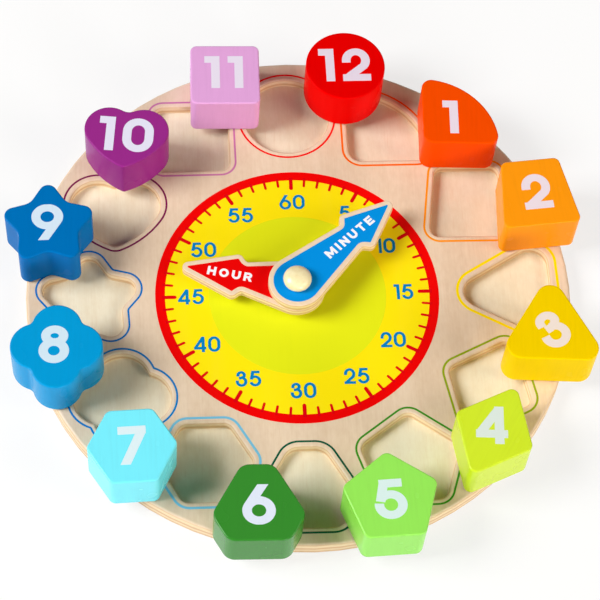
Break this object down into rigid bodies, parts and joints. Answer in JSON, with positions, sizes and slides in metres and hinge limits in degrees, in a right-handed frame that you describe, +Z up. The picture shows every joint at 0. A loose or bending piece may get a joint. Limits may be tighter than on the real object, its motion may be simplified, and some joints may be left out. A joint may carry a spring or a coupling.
{
  "type": "wooden teaching clock puzzle",
  "caption": "Round wooden teaching clock and shape puzzle: printed dial, turning hour and minute hands, and painted numbered blocks that lift off and fit shaped cut-outs round the dial.",
  "frame": {"origin": "middle of the round board's underside, on the plane that the board rests on", "axes": "+Z up out of the dial, +Y towards the twelve (60) on the dial, +X towards the three (15)"},
  "size_m": [0.2426, 0.2377, 0.0288],
  "materials": {
    "board_plywood": "pale plywood, satin clear lacquer, fine straight grain",
    "hand_plywood": "pale plywood, satin clear lacquer",
    "turned_wood": "turned cream wood, satin lacquer",
    "paint_orange": "solid wood painted deep orange, satin",
    "paint_amber": "solid wood painted light orange, satin",
    "paint_yellow": "solid wood painted yellow, satin",
    "paint_lime": "solid wood painted lime, satin",
    "paint_light_green": "solid wood painted light green, satin",
    "paint_dark_green": "solid wood painted dark green, satin",
    "paint_sky": "solid wood painted sky blue, satin",
    "paint_blue": "solid wood painted blue, satin",
    "paint_deep_blue": "solid wood painted deep blue, satin",
    "paint_purple": "solid wood painted purple, satin",
    "paint_mauve": "solid wood painted mauve, satin",
    "paint_red": "solid wood painted red, satin",
    "ink_red": "screen-printed red ink under satin lacquer",
    "ink_yellow": "screen-printed yellow ink under satin lacquer",
    "ink_lime": "screen-printed lime ink under satin lacquer",
    "ink_blue": "screen-printed blue ink under satin lacquer",
    "ink_white": "screen-printed white ink"
  },
  "bodies": {
    "board": {"base_board": "board_plywood", "face_board": "board_plywood", "hand_spacer": "turned_wood", "hand_peg": "turned_wood"},
    "hour_hand": {"hour_hand": "hand_plywood"},
    "minute_hand": {"minute_hand": "hand_plywood"},
    "block_01": {"block_01_quarter_circle": "paint_orange"},
    "block_02": {"block_02_trapezoid": "paint_amber"},
    "block_03": {"block_03_triangle": "paint_yellow"},
    "block_04": {"block_04_rhombus": "paint_lime"},
    "block_05": {"block_05_pentagon": "paint_light_green"},
    "block_06": {"block_06_clipped_triangle": "paint_dark_green"},
    "block_07": {"block_07_hexagon": "paint_sky"},
    "block_08": {"block_08_quatrefoil": "paint_blue"},
    "block_09": {"block_09_star": "paint_deep_blue"},
    "block_10": {"block_10_heart": "paint_purple"},
    "block_11": {"block_11_square": "paint_mauve"},
    "block_12": {"block_12_circle": "paint_red"}
  },
  "joints": [
    {"name": "hour_turn", "type": "hinge", "parent": "board", "child": "hour_hand", "pos_m": [-0.0018, -0.0012, 0.0132], "axis": [0, 0, 1], "continuous": true},
    {"name": "minute_turn", "type": "hinge", "parent": "board", "child": "minute_hand", "pos_m": [-0.0018, -0.0012, 0.0175], "axis": [0, 0, 1], "continuous": true},
    {"name": "lift_01", "type": "slide", "parent": "board", "child": "block_01", "axis": [0, 0, 1], "range_m": [0, 0.04]},
    {"name": "lift_02", "type": "slide", "parent": "board", "child": "block_02", "axis": [0, 0, 1], "range_m": [0, 0.04]},
    {"name": "lift_03", "type": "slide", "parent": "board", "child": "block_03", "axis": [0, 0, 1], "range_m": [0, 0.04]},
    {"name": "lift_04", "type": "slide", "parent": "board", "child": "block_04", "axis": [0, 0, 1], "range_m": [0, 0.04]},
    {"name": "lift_05", "type": "slide", "parent": "board", "child": "block_05", "axis": [0, 0, 1], "range_m": [0, 0.04]},
    {"name": "lift_06", "type": "slide", "parent": "board", "child": "block_06", "axis": [0, 0, 1], "range_m": [0, 0.04]},
    {"name": "lift_07", "type": "slide", "parent": "board", "child": "block_07", "axis": [0, 0, 1], "range_m": [0, 0.04]},
    {"name": "lift_08", "type": "slide", "parent": "board", "child": "block_08", "axis": [0, 0, 1], "range_m": [0, 0.04]},
    {"name": "lift_09", "type": "slide", "parent": "board", "child": "block_09", "axis": [0, 0, 1], "range_m": [0, 0.04]},
    {"name": "lift_10", "type": "slide", "parent": "board", "child": "block_10", "axis": [0, 0, 1], "range_m": [0, 0.04]},
    {"name": "lift_11", "type": "slide", "parent": "board", "child": "block_11", "axis": [0, 0, 1], "range_m": [0, 0.04]},
    {"name": "lift_12", "type": "slide", "parent": "board", "child": "block_12", "axis": [0, 0, 1], "range_m": [0, 0.04]}
  ]
}
